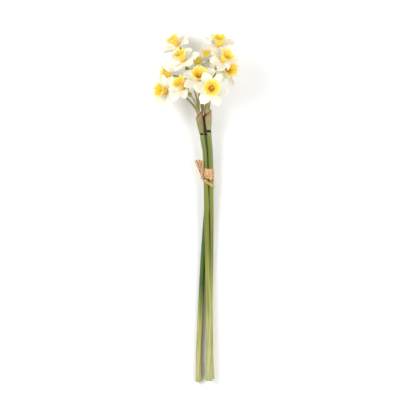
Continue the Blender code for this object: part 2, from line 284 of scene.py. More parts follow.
@dataclass(frozen=True)
class TrumpetSilk(Finish):
    """The same silk dyed yellow, airbrushed orange down in the throat."""

    rim: str = "#f9e88a"
    wall: str = "#f2d854"
    throat: str = "#f8ae2c"
    # Paler than the throat: painted light that lifts the shaded floor at the bottom of the trumpet.
    floor: str = "#fcc848"

    def build(self) -> bpy.types.Material:
        """Yellow that deepens towards the throat, with painted light on the paler floor below it, streaked
        along the pleats.

        Returns:
            The material.
        """
        material, tree, shader = self.shader()
        sheet, split = sheet_map(tree)
        codes = (self.floor, self.throat, self.wall, self.wall, self.rim)
        stops = [(at, srgb(code)) for at, code in zip((0.0, 0.08, 0.24, 0.72, 0.97), codes)]
        height = add_ramp(tree, split.outputs["Y"], stops)
        # The mouth is 78 mm round and the wall 16 mm high, so a streak is 1.1 mm wide and 5 mm long.
        streaks = stretched_noise(tree, sheet, (70.0, 3.0, 1.0), 3.0)
        dyed = add_ramp(tree, streaks, ((0.3, srgb("#eec65a")), (0.58, srgb("#ffffff"))))
        colour = mixed(tree, 0.45, height, dyed, "MULTIPLY")
        tree.links.new(colour, shader.inputs["Base Color"])
        tree.links.new(bumped(tree, streaks, 0.5 * MM, 0.4), shader.inputs["Normal"])
        return material


@dataclass(frozen=True)
class StreakedPlastic(Finish):
    """Moulded polyethylene, sprayed in greens: satin-matt, with streaks along the moulding."""

    stops: tuple = ()
    streak: str = "#52611c"
    depth: float = 0.62

    def build(self) -> bpy.types.Material:
        """Greens that change from end to end, with fine dark streaks drawn out along the piece.

        Returns:
            The material.
        """
        material, tree, shader = self.shader()
        sheet, split = sheet_map(tree)
        along = add_ramp(tree, split.outputs["X"], [(at, srgb(code)) for at, code in self.stops])
        # A stem is 360 mm long and 26 mm round, so a streak is 1 mm wide and 70 mm long.
        streaks = stretched_noise(tree, sheet, (5.0, 26.0, 1.0), 5.0)
        dark = add_ramp(tree, streaks, ((0.4, srgb(self.streak)), (0.55, srgb("#ffffff"))))
        colour = mixed(tree, self.depth, along, dark, "MULTIPLY")
        tree.links.new(colour, shader.inputs["Base Color"])
        tree.links.new(bumped(tree, streaks, 0.3 * MM, 0.35), shader.inputs["Normal"])
        return material


@dataclass(frozen=True)
class PaperySheath(Finish):
    """Waxed crepe fabric: dry khaki with ribs along it and a reddish margin."""

    body: str = "#a6a272"
    rib: str = "#8c8857"
    margin: str = "#b07a64"
    # Near-black painted shade for the gap where the sheath enters its collar.
    painted_gap_shade: str = "#15120a"

    def build(self) -> bpy.types.Material:
        """Khaki ribs, reddening over the last few millimetres before the margin, with painted shade at the
        foot.

        Returns:
            The material.
        """
        material, tree, shader = self.shader()
        sheet, split = sheet_map(tree)
        # A sheath is 36 mm long and 29 mm round, so a rib is 1 mm wide and 12 mm long.
        ribs = stretched_noise(tree, sheet, (3.0, 30.0, 1.0), 4.0)
        khaki = add_ramp(tree, ribs, ((0.35, srgb(self.rib)), (0.62, srgb(self.body))))
        rim = mixed(tree, fade(tree, split.outputs["X"], 0.76, 0.95), khaki, srgb(self.margin))
        # The first 0.4 mm past the map's zero, and all before it, is painted near-black as shade in the gap
        # where the sheath enters its collar.
        colour = mixed(tree, fade(tree, split.outputs["X"], 0.0, 0.012), srgb(self.painted_gap_shade), rim)
        tree.links.new(colour, shader.inputs["Base Color"])
        tree.links.new(bumped(tree, ribs, 0.5 * MM, 0.5), shader.inputs["Normal"])
        return material


@dataclass(frozen=True)
class DryRaffia(Finish):
    """Dried palm leaf strip: dull tan with fibres along it, paler where its fibres and crumples stand
    highest.
    """

    light: str = "#dfba8c"
    middle: str = "#c69e6e"
    dark: str = "#8a603a"

    def build(self) -> bpy.types.Material:
        """Fibres along the strip, with crumpled mottling over them.

        Returns:
            The material.
        """
        material, tree, shader = self.shader()
        sheet, _ = sheet_map(tree)
        # One unit of the map is 9 mm along the band and 15 mm across it, so a fibre is 0.7 mm wide
        # and 3 mm long. The crumples are about 2.4 mm across.
        fibres = stretched_noise(tree, sheet, (3.0, 22.0, 1.0), 6.0)
        space = add_node(tree, "ShaderNodeTexCoord").outputs["Object"]
        crumple = stretched_noise(tree, space, (420.0, 420.0, 420.0), 4.0)
        both = add_node(tree, "ShaderNodeMath", {0: fibres, 1: crumple}, operation="ADD")
        half = add_node(tree, "ShaderNodeMath", {0: both.outputs[0], 1: 0.5}, operation="MULTIPLY")
        shades = ((0.38, self.dark), (0.5, self.middle), (0.6, self.light))
        colour = add_ramp(tree, half.outputs[0], [(at, srgb(code)) for at, code in shades])
        tree.links.new(colour, shader.inputs["Base Color"])
        tree.links.new(bumped(tree, half.outputs[0], 0.8 * MM, 0.6), shader.inputs["Normal"])
        return material


# ---------------------------------------------------------------- meshes


def smooth(edge: np.ndarray | float, low: float, high: float) -> np.ndarray:
    """Ease from 0 at low to 1 at high.

    Args:
        edge: where to read the ease.
        low: where it leaves 0.
        high: where it reaches 1.

    Returns:
        Values from 0 to 1.
    """
    share = np.clip((np.asarray(edge, float) - low) / (high - low), 0.0, 1.0)
    return share * share * (3 - 2 * share)


def full_turn(count: int) -> np.ndarray:
    """Evenly spaced angles for one turn, without the repeated last one."""
    return np.linspace(0.0, 2 * math.pi, count, endpoint=False)


def crossed(rows: np.ndarray, columns: np.ndarray) -> np.ndarray:
    """Pair every row's value with every column's, as a grid's UV values."""
    return np.stack(np.broadcast_arrays(rows[:, None], columns[None, :]), axis=-1)


def box_corners(node: str) -> tuple[np.ndarray, np.ndarray]:
    """The low and the high corner of a CAD node's box."""
    low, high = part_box(node)
    return np.array(low), np.array(high)


def linked(name: str, data: bpy.types.ID) -> bpy.types.Object:
    """Make an object of a mesh, light or camera, and put it in the scene.

    Args:
        name: the object's name.
        data: what the object shows or does.

    Returns:
        The object.
    """
    obj = bpy.data.objects.new(name, data)
    bpy.context.scene.collection.objects.link(obj)
    return obj


def grid_mesh(name: str, points: np.ndarray, uv: np.ndarray, wrap: bool) -> bpy.types.Mesh:
    """Make a mesh of quads from a grid of points.

    Args:
        name: the mesh's name.
        points: rows by columns by 3.
        uv: rows by columns by 2; a wrapped grid's last column runs on by one more step.
        wrap: whether the last column joins the first.

    Returns:
        The mesh, smooth shaded, with a UV map named sheet.
    """
    rows, columns = points.shape[:2]
    index = np.arange(rows * columns).reshape(rows, columns)
    around = columns if wrap else columns - 1
    turned = np.roll(index, -1, axis=1)
    faces = np.stack(
        [index[:-1, :around], turned[:-1, :around], turned[1:, :around], index[1:, :around]], axis=-1
    ).reshape(-1, 4)
    mesh = bpy.data.meshes.new(name)
    mesh.from_pydata(points.reshape(-1, 3).tolist(), [], faces.tolist())
    layer = mesh.uv_layers.new(name="sheet")
    after = np.concatenate([uv, 2 * uv[:, -1:] - uv[:, -2:-1]], axis=1)
    corners = np.stack(
        [after[:-1, :around], after[:-1, 1 : around + 1], after[1:, 1 : around + 1], after[1:, :around]],
        axis=2,
    ).reshape(-1, 2)
    layer.data.foreach_set("uv", corners.astype(np.float32).ravel())
    mesh.polygons.foreach_set("use_smooth", np.ones(len(mesh.polygons), bool))
    mesh.update()
    return mesh


def add_piece(name: str, mesh: bpy.types.Mesh, material: bpy.types.Material) -> bpy.types.Object:
    """Link a finished mesh as an object at the origin.

    Args:
        name: the piece's name.
        mesh: its mesh, already in place.
        material: its finish.

    Returns:
        The object.
    """
    mesh.materials.clear()
    mesh.materials.append(material)
    return linked(name, mesh)


def thicken(obj: bpy.types.Object, thickness: float, offset: float = 0.0) -> None:
    """Give a sheet its thickness.

    Args:
        obj: the sheet.
        thickness: in metres.
        offset: 0 to keep the sheet in the middle, 1 to grow outward.
    """
    modifier = obj.modifiers.new("thickness", "SOLIDIFY")
    modifier.thickness = thickness
    modifier.offset = offset
    modifier.use_even_offset = False


def settle(obj: bpy.types.Object, slot: str, *nodes: str) -> None:
    """Hand a finished piece to the frame.

    Args:
        obj: the piece.
        slot: not used.
        nodes: the CAD nodes that it stands for.
    """
    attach(obj, BODY)
    if nodes:
        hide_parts(*nodes)
    LOG.info("%s: %d faces", obj.name, len(obj.data.polygons))


def node_points(node: str) -> np.ndarray:
    """The distinct points of a CAD node's mesh.

    Args:
        node: the node's name.

    Returns:
        Points by 3, in metres.
    """
    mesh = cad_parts[node].data
    flat = np.zeros(len(mesh.vertices) * 3)
    mesh.vertices.foreach_get("co", flat)
    return np.unique(np.round(flat.reshape(-1, 3), 6), axis=0)


def node_triangles(node: str) -> np.ndarray:
    """The corners of a CAD node's triangles.

    Args:
        node: the node's name.

    Returns:
        Triangles by 3 by 3, in metres.
    """
    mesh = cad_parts[node].data
    mesh.calc_loop_triangles()
    flat = np.zeros(len(mesh.vertices) * 3)
    mesh.vertices.foreach_get("co", flat)
    corners = np.zeros(len(mesh.loop_triangles) * 3, np.int32)
    mesh.loop_triangles.foreach_get("vertices", corners)
    return flat.reshape(-1, 3)[corners].reshape(-1, 3, 3)


def area_centre(triangles: np.ndarray) -> np.ndarray:
    """The centre of a surface, weighted by area.

    Args:
        triangles: the corners of the surface's triangles.

    Returns:
        The centre.
    """
    first, second, third = triangles[:, 0], triangles[:, 1], triangles[:, 2]
    areas = np.linalg.norm(np.cross(second - first, third - first), axis=1)
    return (triangles.mean(axis=1) * areas[:, None]).sum(axis=0) / areas.sum()


def resample(route: np.ndarray, count: int) -> np.ndarray:
    """Read a smooth curve through a route at even steps.

    Args:
        route: points by 3, or by more values that are carried along.
        count: how many points to read.

    Returns:
        Count by the same number of values.
    """
    strides = np.linalg.norm(np.diff(route[:, :3], axis=0), axis=1)
    steps = np.concatenate([[0.0], np.cumsum(strides)])
    slopes = np.gradient(route, steps, axis=0)
    wanted = np.linspace(0.0, steps[-1], count)
    cell = np.clip(np.searchsorted(steps, wanted) - 1, 0, len(steps) - 2)
    width = (steps[cell + 1] - steps[cell])[:, None]
    share = ((wanted - steps[cell])[:, None]) / width
    square, cube = share**2, share**3
    return (
        (2 * cube - 3 * square + 1) * route[cell]
        + (cube - 2 * square + share) * width * slopes[cell]
        + (3 * square - 2 * cube) * route[cell + 1]
        + (cube - square) * width * slopes[cell + 1]
    )


def carried_frames(route: np.ndarray) -> tuple[np.ndarray, np.ndarray, np.ndarray]:
    """Frames carried along a route without twisting.

    Args:
        route: points by 3.

    Returns:
        The tangents, sides and ups at each point.
    """
    tangents = np.gradient(route, axis=0)
    tangents /= np.linalg.norm(tangents, axis=1)[:, None]
    up = np.array([0.0, 0.0, 1.0])
    if abs(tangents[0] @ up) > 0.9:
        up = np.array([1.0, 0.0, 0.0])
    ups = np.zeros_like(route)
    for index, tangent in enumerate(tangents):
        up = up - tangent * (up @ tangent)
        up = up / np.linalg.norm(up)
        ups[index] = up
    sides = np.cross(tangents, ups)
    return tangents, sides, ups


def tube_points(route: np.ndarray, radii: np.ndarray, angles: np.ndarray) -> np.ndarray:
    """Rings of points round a route.

    Args:
        route: points by 3.
        radii: points, or points by angles.
        angles: the ring's angles, measured from the side towards the up direction.

    Returns:
        Route points by angles by 3, with faces outward when gridded.
    """
    _, sides, ups = carried_frames(route)
    radii = radii if radii.ndim == 2 else radii[:, None]
    across = sides[:, None] * np.cos(angles)[None, :, None] + ups[:, None] * np.sin(angles)[None, :, None]
    return route[:, None] + across * radii[..., None]


def ring_route(node: str, sides: int, foot: np.ndarray) -> np.ndarray:
    """Read a tube's centre line and radii back from its rings.

    Args:
        node: a CAD node that is one capped tube.
        sides: how many points each ring has.
        foot: a place near the end to start from.

    Returns:
        Rings by 4: x, y, z and the mean radius.
    """
    triangles = np.round(node_triangles(node), 6)
    points, index = np.unique(triangles.reshape(-1, 3), axis=0, return_inverse=True)
    index = index.reshape(-1, 3)
    touching: list[set[int]] = [set() for _ in points]
    for first, second, third in index:
        touching[first] |= {second, third}
        touching[second] |= {first, third}
        touching[third] |= {first, second}
    nearest = int(np.argmin(np.linalg.norm(points - foot, axis=1)))
    by_distance = np.argsort(np.linalg.norm(points - points[nearest], axis=1))
    ring = set(int(point) for point in by_distance[:sides])
    seen: set[int] = set()
    route = []
    while ring:
        seen |= ring
        members = points[sorted(ring)]
        centre = members.mean(axis=0)
        route.append([*centre, np.linalg.norm(members - centre, axis=1).mean()])
        ring = set().union(*(touching[point] for point in ring)) - seen
    return np.array(route)


def sliced_route(node: str, count: int) -> np.ndarray:
    """Read a long piece's centre line and radius from cuts across Y.

    Args:
        node: a CAD node that runs along Y.
        count: how many cuts to make.

    Returns:
        Cuts by 4: x, y, z and radius, from low Y to high Y.
    """
    triangles = node_triangles(node)
    low, high = triangles[..., 1].min(), triangles[..., 1].max()
    route = []
    for y in np.linspace(low + 0.8 * MM, high - 0.8 * MM, count):
        crossing = []
        for start, end in ((0, 1), (1, 2), (2, 0)):
            first, second = triangles[:, start], triangles[:, end]
            span = second[:, 1] - first[:, 1]
            hit = (first[:, 1] - y) * (second[:, 1] - y) < 0
            share = (y - first[hit, 1]) / span[hit]
            crossing.append(first[hit] + (second[hit] - first[hit]) * share[:, None])
        cut = np.concatenate(crossing)
        low_corner, high_corner = cut.min(axis=0), cut.max(axis=0)
        centre = (low_corner + high_corner) / 2
        route.append([centre[0], y, centre[2], (high_corner[0] - low_corner[0]) / 2])
    return np.array(route)


# ---------------------------------------------------------------- flower heads


@dataclass(frozen=True)
class Pose:
    """How a tepal is held.

    It is bent forward, its edges are rolled in, and it is twisted and turned
    aside, all in degrees. The length is a share of the usual one.
    """

    bend: float
    roll: float
    twist: float = 0.0
    yaw: float = 0.0
    length: float = 1.0


class Habit(Enum):
    """The usual ways that a tepal is held."""

    SPREAD = Pose(5, 20)
    CUPPED = Pose(24, 48)
    TWISTED = Pose(10, 40, 22)
    REFLEXED = Pose(-20, 24)


@dataclass(frozen=True)
class Accent:
    """The tepal whose tip points nearest to a direction has a pose of its own."""

    toward: tuple[float, float, float]
    pose: Pose


@dataclass
class HeadPlace:
    """A flower head's own frame, read from its CAD tepals and trumpet."""

    number: str
    to_world: Matrix = field(init=False)

    def __post_init__(self) -> None:
        """Find the axis from the two pieces' centres, and the turn from a tepal's tip."""
        tepals = node_triangles(f"outer_tepals_{self.number}")
        trumpet = node_triangles(f"trumpet_{self.number}")
        start = area_centre(tepals)
        axis = area_centre(trumpet) - start
        axis /= np.linalg.norm(axis)
        points = tepals.reshape(-1, 3)
        heights = (points - start) @ axis
        back_face = heights.min()
        flat = points - start - heights[:, None] * axis
        reach = np.linalg.norm(flat, axis=1)
        side = flat[int(np.argmax(reach))] / reach.max()
        seat = start + axis * (back_face + 0.6 * MM)
        columns = (side, np.cross(axis, side), axis)
        self.to_world = Matrix.Translation(Vector(seat)) @ Matrix(
            [[float(column[row]) for column in columns] for row in range(3)]
        ).to_4x4()

    def place(self, points: np.ndarray) -> np.ndarray:
        """Carry points from the head's frame into the world."""
        matrix = np.array(self.to_world)
        return points @ matrix[:3, :3].T + matrix[:3, 3]


@dataclass
class Tepal:
    """One tepal's own shape: its habit, its turns and its seeded irregularities."""

    pose: Pose
    seed: int
    reach: float = 27.0 * MM
    hub: float = 4.2 * MM
    hole: float = 2.0 * MM
    taper: float = 1.45
    tip_point: float = 1.6 * MM
    half_width: float = 8.8 * MM
    crease: float = 0.62 * MM
    crease_width: float = 1.3 * MM
    ruffle: float = 0.8 * MM
    line: float = 0.16 * MM
    line_pitch: float = 1.45 * MM

    def __post_init__(self) -> None:
        """Take the pose's length into the reach."""
        self.reach *= self.pose.length

    def edge(self, angle: np.ndarray) -> np.ndarray:
        """The outline's radius at an angle from the midrib, with a small point at the tip.

        Args:
            angle: radians from the midrib.

        Returns:
            Distances from the hub's middle.
        """
        rng = np.random.default_rng(self.seed)
        body = np.clip(np.cos(1.5 * angle), 0.0, 1.0) ** self.taper
        waves = 0.012 * np.sin(9 * angle + rng.uniform(0, 6)) + 0.008 * np.sin(17 * angle + rng.uniform(0, 6))
        blade = self.reach - self.tip_point - self.hub
        radius = self.hub + blade * body * (1 + waves * (1 - np.exp(-8 * body)))
        return radius + self.tip_point * np.exp(-((angle / 0.075) ** 2))

    def bent(self, along: np.ndarray, across: np.ndarray) -> np.ndarray:
        """Bend, cup, twist and crease the flat tepal.

        Args:
            along: distance along the midrib.
            across: distance from the midrib, positive to its left.

        Returns:
            Points with the midrib near +X and +Z forward.
        """
        rng = np.random.default_rng(self.seed + 1)
        bend = math.radians(self.pose.bend + rng.uniform(-5, 5))
        roll = math.radians(self.pose.roll + rng.uniform(-6, 6))
        twist = math.radians(self.pose.twist + rng.uniform(-9, 9))
        half_width = self.half_width
        free = smooth(along, 0.16 * self.reach, 0.55 * self.reach)
        curl = np.where(np.abs(roll * free) < 1e-3, 1e-3, roll * free) / half_width
        sideways = np.sin(curl * across) / curl
        lift = (1 - np.cos(curl * across)) / curl
        lift = lift - self.crease * np.exp(-((across / self.crease_width) ** 2)) * free
        ruffle = self.ruffle * (across / half_width) ** 2 * free
        lift = lift + ruffle * np.sin(along / self.reach * 11 + rng.uniform(0, 6) + np.sign(across) * 1.1)
        lift = lift + self.line * free * np.cos(across / self.line_pitch * math.pi)
        angle = twist * smooth(along, 0.2 * self.reach, self.reach)
        sideways, lift = (
            sideways * np.cos(angle) - lift * np.sin(angle),
            sideways * np.sin(angle) + lift * np.cos(angle),
        )
        steps = np.linspace(0.0, 1.05 * self.reach, 80)
        lean = math.radians(5.5) + bend * smooth(steps, 0.12 * self.reach, 1.05 * self.reach)
        stride = steps[1] - steps[0]
        forward = np.concatenate([[0.0], np.cumsum(np.cos(lean[:-1])) * stride])
        upward = np.concatenate([[0.0], np.cumsum(np.sin(lean[:-1])) * stride])
        centre_x = np.interp(along, steps, forward)
        centre_z = np.interp(along, steps, upward)
        slope = np.interp(along, steps, lean)
        forward = centre_x - lift * np.sin(slope)
        yaw = math.radians(self.pose.yaw) * smooth(along, 0.15 * self.reach, 0.6 * self.reach)
        return np.stack(
            [
                forward * np.cos(yaw) - sideways * np.sin(yaw),
                forward * np.sin(yaw) + sideways * np.cos(yaw),
                centre_z + lift * np.cos(slope),
            ],
            axis=-1,
        )


@dataclass
class Whorl:
    """Three tepals pressed from one piece of silk, with the hole for the floral tube."""

    name: str
    node: str
    head: HeadPlace
    poses: Sequence[Pose]
    turn: float
    lift: float
    seed: int
    rows: int = 22
    columns: int = 34
    cloth: float = 0.35 * MM

    def mesh(self) -> bpy.types.Mesh:
        """Lay three tepals side by side round the hub.

        Returns:
            The whorl's mesh, in place.
        """
        spread = np.linspace(-1.0, 1.0, self.columns + 1)[:-1]
        angles = math.pi / 3 * np.sign(spread) * np.abs(spread) ** 1.25
        shares = np.linspace(0.0, 1.0, self.rows) ** 0.85
        blocks, sheets = [], []
        for number, pose in enumerate(self.poses):
            tepal = Tepal(pose, self.seed + 10 * number)
            edge = tepal.edge(angles)
            radii = tepal.hole + (edge[None, :] - tepal.hole) * shares[:, None]
            along, across = radii * np.cos(angles), radii * np.sin(angles)
            local = tepal.bent(along, across)
            centre = self.turn + number * 2 * math.pi / 3
            cos_turn, sin_turn = math.cos(centre), math.sin(centre)
            blocks.append(
                np.stack(
                    [
                        local[..., 0] * cos_turn - local[..., 1] * sin_turn,
                        local[..., 0] * sin_turn + local[..., 1] * cos_turn,
                        local[..., 2] + self.lift,
                    ],
                    axis=-1,
                )
            )
            sheets.append(np.stack([radii / tepal.reach, 0.5 + across / tepal.reach], axis=-1))
        points = np.concatenate(blocks, axis=1)
        seam = np.arange(0, points.shape[1], self.columns)
        before, after = np.roll(points, 1, axis=1)[:, seam], np.roll(points, -1, axis=1)[:, seam]
        points[:, seam] = (before + after) / 2
        return grid_mesh(self.name, self.head.place(points), np.concatenate(sheets, axis=1), wrap=True)

    def build(self, material: bpy.types.Material) -> None:
        """Make the whorl and hand it to the frame.

        Args:
            material: the silk.
        """
        obj = add_piece(self.name, self.mesh(), material)
        thicken(obj, self.cloth)
        settle(obj, "tepal_fabric", self.node)


@dataclass
class Trumpet:
    """The pleated trumpet: a waisted tube that flares into a frilled, scalloped mouth."""

    number: str
    head: HeadPlace
    seed: int
    seat: float = 1.7 * MM
    depth: float = 16.4 * MM
    hole: float = 2.0 * MM
    base: float = 3.9 * MM
    mouth: float = 12.4 * MM
    flare: float = 1.65
    pleats: int = 12
    pleat_depth: float = 1.15 * MM
    lobe_depth: float = 0.55 * MM
    fringe: float = 0.4 * MM
    around: int = 168
    along: int = 26
    cloth: float = 0.45 * MM

    def mesh(self) -> bpy.types.Mesh:
        """Turn the profile and work the pleats and the frill into it.

        Returns:
            The trumpet's mesh, in place.
        """
        rng = np.random.default_rng(self.seed)
        angles = full_turn(self.around)[None, :]
        rise = np.linspace(0.0, 1.0, self.along)[:, None]
        # The pleats wander round the mouth, so no two of them are alike.
        wander = 0.34 * np.sin(angles + rng.uniform(0, 6)) + 0.26 * np.sin(2 * angles + rng.uniform(0, 6))
        pleat = 1 - 2 * np.abs(np.sin(self.pleats / 2 * angles + 1.3 * wander + rng.uniform(0, 6))) ** 0.8
        lobes = np.cos(6 * angles + 1.5 * wander + rng.uniform(0, 6))
        uneven = np.cos(5 * angles + rng.uniform(0, 6)) * 0.5 + np.cos(7 * angles + rng.uniform(0, 6)) * 0.5
        fine = np.cos(29 * angles + rng.uniform(0, 6)) * 0.5 + np.cos(23 * angles + rng.uniform(0, 6)) * 0.5
        # The frill below reaches about 1.3 mm past the plain cone.
        radius = self.base + (self.mouth - 1.3 * MM - self.base) * rise**self.flare
        frill = smooth(rise, 0.3, 1.0)
        radius = radius + frill * (self.pleat_depth * pleat * (1 + 0.35 * uneven) + self.lobe_depth * lobes)
        radius = radius + smooth(rise, 0.78, 1.0) * self.fringe * fine
        radius = radius + 0.2 * MM * np.cos(self.pleats * angles) * smooth(rise, 0.05, 0.4)
        height = self.depth * (1 - (1 - rise) ** 1.12)
        # The mouth dips by up to 1 mm between lobes, 0.8 mm between pleats and 0.5 mm unevenly.
        height = height - frill * MM * (1.0 * (1 - lobes) + 0.8 * (1 - pleat) + 0.5 * (1 + uneven)) / 2
        height = height - smooth(rise, 0.86, 1.0) * (0.5 * MM + self.fringe * fine)
        twist = 0.05 * frill * np.sin(5 * angles + rng.uniform(0, 6))
        wall = np.stack(
            [radius * np.cos(angles + twist), radius * np.sin(angles + twist), self.seat + height], axis=-1
        )
        ring = np.stack([np.cos(angles), np.sin(angles), np.zeros_like(angles)], axis=-1)
        floor = [ring * self.hole, ring * (self.hole + self.base) / 2]
        floor = [row + np.array([0.0, 0.0, self.seat]) for row in floor]
        points = np.concatenate([*floor, wall], axis=0)
        rows = len(points)
        climb = np.concatenate([[0.0, 0.01], np.linspace(0.02, 1.0, rows - 2)])
        uv = crossed(climb, angles[0] / (2 * math.pi))[..., ::-1]
        return grid_mesh(f"trumpet_{self.number}_mesh", self.head.place(points), uv, wrap=True)

    def build(self, material: bpy.types.Material) -> None:
        """Make the trumpet and hand it to the frame.

        Args:
            material: the silk.
        """
        obj = add_piece(f"frilled_trumpet_{self.number}", self.mesh(), material)
        thicken(obj, self.cloth)
        settle(obj, "trumpet_fabric", f"trumpet_{self.number}")


def start_tree(name: str, inputs: Sequence[tuple]) -> tuple[bpy.types.NodeTree, bpy.types.NodeOutputs]:
    """Start a Geometry Nodes tree with named inputs.

    Args:
        name: the tree's name.
        inputs: (name, socket type, usual value) of each input.

    Returns:
        The tree and the sockets that give its inputs.
    """
    tree = bpy.data.node_groups.new(name, "GeometryNodeTree")
    tree.interface.new_socket("Geometry", in_out="OUTPUT", socket_type="NodeSocketGeometry")
    for label, kind, value in inputs:
        tree.interface.new_socket(label, in_out="INPUT", socket_type=kind).default_value = value
    return tree, add_node(tree, "NodeGroupInput").outputs


def end_tree(
    tree: bpy.types.NodeTree, geometry: bpy.types.NodeSocket, material: bpy.types.Material
) -> bpy.types.NodeTree:
    """Realise a tree's instances, give them their material and close the tree.

    Args:
        tree: the tree.
        geometry: the instances.
        material: their finish.

    Returns:
        The same tree.
    """
    realised = add_node(tree, "GeometryNodeRealizeInstances", {"Geometry": geometry})
    dressed = add_node(
        tree, "GeometryNodeSetMaterial", {"Geometry": realised.outputs[0], "Material": material}
    )
    add_node(tree, "NodeGroupOutput", {0: dressed.outputs[0]})
    return tree


@dataclass
class StamenTree:
    """A Geometry Nodes tree: stamens with anthers in a ring, round one pistil."""

    material: bpy.types.Material
    count: int = 6
    ring: float = 1.5 * MM
    height: float = 6.5 * MM
    filament: float = 0.28 * MM
    anther: float = 0.8 * MM
    style: float = 10.0 * MM
    stigma: float = 1.0 * MM

    def build(self) -> bpy.types.NodeTree:
        """Build the tree, with its count, ring and height as inputs.

        Returns:
            The tree.
        """
        tree, given = start_tree(
            "stamens_and_pistil",
            (
                ("Count", "NodeSocketInt", self.count),
                ("Ring", "NodeSocketFloat", self.ring),
                ("Height", "NodeSocketFloat", self.height),
            ),
        )
        ring = add_node(
            tree, "GeometryNodeMeshCircle", {"Vertices": given["Count"], "Radius": given["Ring"]}
        )
        filament = add_node(
            tree,
            "GeometryNodeMeshCylinder",
            {"Vertices": 8, "Radius": self.filament, "Depth": given["Height"]},
        )
        anther = add_node(
            tree, "GeometryNodeMeshUVSphere", {"Segments": 10, "Rings": 8, "Radius": self.anther}
        )
        top = add_node(tree, "ShaderNodeCombineXYZ", {"Z": given["Height"]})
        half = add_node(
            tree, "ShaderNodeVectorMath", {0: top.outputs[0], 1: (0.5, 0.5, 0.5)}, operation="MULTIPLY"
        )
        stretched = add_node(
            tree,
            "GeometryNodeTransform",
            {"Geometry": anther.outputs["Mesh"], "Translation": half.outputs[0], "Scale": (0.55, 0.75, 1.7)},
        )
        stamen = add_node(tree, "GeometryNodeJoinGeometry")
        tree.links.new(filament.outputs["Mesh"], stamen.inputs[0])
        tree.links.new(stretched.outputs[0], stamen.inputs[0])
        tilt = add_node(
            tree,
            "FunctionNodeRandomValue",
            {0: (-0.16, -0.16, -3.1), 1: (0.16, 0.16, 3.1), "Seed": 4},
            data_type="FLOAT_VECTOR",
        )
        ringed = add_node(
            tree,
            "GeometryNodeInstanceOnPoints",
            {
                "Points": ring.outputs["Mesh"],
                "Instance": stamen.outputs[0],
                "Rotation": tilt.outputs[0],
            },
        )
        style = add_node(
            tree,
            "GeometryNodeMeshCone",
            {"Vertices": 10, "Radius Top": 0.35 * MM, "Radius Bottom": 0.5 * MM, "Depth": self.style},
        )
        stigma = add_node(
            tree, "GeometryNodeMeshUVSphere", {"Segments": 12, "Rings": 8, "Radius": self.stigma}
        )
        raised = add_node(
            tree,
            "GeometryNodeTransform",
            {
                "Geometry": stigma.outputs["Mesh"],
                "Translation": (0.0, 0.0, self.style),
                "Scale": (0.9, 0.9, 0.6),
            },
        )
        everything = add_node(tree, "GeometryNodeJoinGeometry")
        for part in (ringed.outputs[0], style.outputs["Mesh"], raised.outputs[0]):
            tree.links.new(part, everything.inputs[0])
        return end_tree(tree, everything.outputs[0], self.material)


def realised_mesh(name: str, tree: bpy.types.NodeTree, values: dict[str, object]) -> bpy.types.Mesh:
    """Run a Geometry Nodes tree and keep its result as a plain mesh.

    Args:
        name: the mesh's name.
        tree: the tree.
        values: input name to value.

    Returns:
        The mesh.
    """
    holder = linked(name + "_holder", bpy.data.meshes.new(name + "_seed"))
    modifier = holder.modifiers.new("nodes", "NODES")
    modifier.node_group = tree
    for item in tree.interface.items_tree:
        if item.in_out == "INPUT" and item.name in values:
            modifier[item.identifier] = values[item.name]
    graph = bpy.context.evaluated_depsgraph_get()
    mesh = bpy.data.meshes.new_from_object(holder.evaluated_get(graph))
    bpy.data.objects.remove(holder, do_unlink=True)
    mesh.name = name
    mesh.polygons.foreach_set("use_smooth", np.ones(len(mesh.polygons), bool))
    return mesh


@dataclass
class Stalk:
    """A flower's stalk, its ovary and its floral tube, in one smooth moulding."""

    number: str
    head: HeadPlace
    cad_sides: int = 6
    sides: int = 18
    rings: int = 90

    def build(self, material: bpy.types.Material) -> None:
        """Read the CAD tube's rings and sweep a smooth, faintly ribbed tube along them.

        Args:
            material: the moulded plastic.
        """
        node = f"stalk_{self.number}"
        seat = np.array(self.head.to_world.translation)
        points = node_points(node)
        foot = points[int(np.argmax(np.linalg.norm(points - seat, axis=1)))]
        route = resample(ring_route(node, self.cad_sides, foot), self.rings)
        angles = full_turn(self.sides)
        radii = np.clip(route[:, 3], 0.9 * MM, None)[:, None] * (1 + 0.05 * np.cos(6 * angles)[None, :])
        body = tube_points(route[:, :3], radii, angles)
        caps = [np.repeat(body[end].mean(axis=0)[None, None], self.sides, axis=1) for end in (0, -1)]
        rows = np.concatenate([caps[0], body, caps[1]], axis=0)
        uv = crossed(np.linspace(0.0, 1.0, len(rows)), angles / (2 * math.pi))
        mesh = grid_mesh(f"{node}_mesh", rows, uv, wrap=True)
        weld(mesh)
        obj = add_piece(f"smooth_stalk_{self.number}", mesh, material)
        settle(obj, "stalk_plastic", node)


def joined(name: str, meshes: Sequence[bpy.types.Mesh]) -> bpy.types.Mesh:
    """Join meshes into one new mesh.

    Args:
        name: the new mesh's name.
        meshes: the meshes to join; they are removed.

    Returns:
        The new mesh.
    """
    work = bmesh.new()
    for mesh in meshes:
        work.from_mesh(mesh)
        bpy.data.meshes.remove(mesh)
    result = bpy.data.meshes.new(name)
    work.to_mesh(result)
    work.free()
    return result


def weld(mesh: bpy.types.Mesh) -> None:
    """Merge doubled points, as at a closed end, and turn the faces outward.

    Args:
        mesh: the mesh, changed in place.
    """
    work = bmesh.new()
    work.from_mesh(mesh)
    bmesh.ops.remove_doubles(work, verts=work.verts, dist=0.002 * MM)
    bmesh.ops.recalc_face_normals(work, faces=work.faces)
    work.to_mesh(mesh)
    work.free()
    mesh.update()


